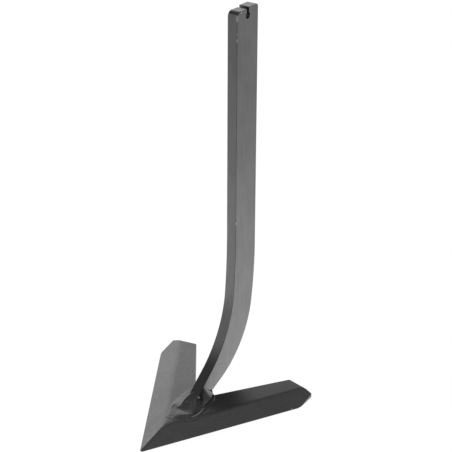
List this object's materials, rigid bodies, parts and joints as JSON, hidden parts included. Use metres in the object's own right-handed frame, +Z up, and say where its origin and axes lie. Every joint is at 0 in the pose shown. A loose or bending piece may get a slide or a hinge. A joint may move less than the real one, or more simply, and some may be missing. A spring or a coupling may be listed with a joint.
{
  "type": "weeder knife",
  "caption": "V-shaped hoe share with bevelled cutting edges, welded to the foot of a curved flat-bar shank with a keyhole slot in its top end.",
  "frame": {"origin": "under the middle of the knife's box, at the height of its lowest point, the nose", "axes": "+Z up along the upright shank, -Y the direction of travel in which the nose points, X across it; x = 0 is the plane of symmetry"},
  "size_m": [0.16, 0.1622, 0.3619],
  "materials": {
    "shank": "dark grey satin paint on flat steel bar",
    "blade": "dark grey satin paint on forged steel",
    "weld": "dark grey satin paint over a fillet weld"
  },
  "bodies": {
    "root": {"shank": "shank", "blade": "blade", "weld_bead": "weld"}
  },
  "joints": []
}
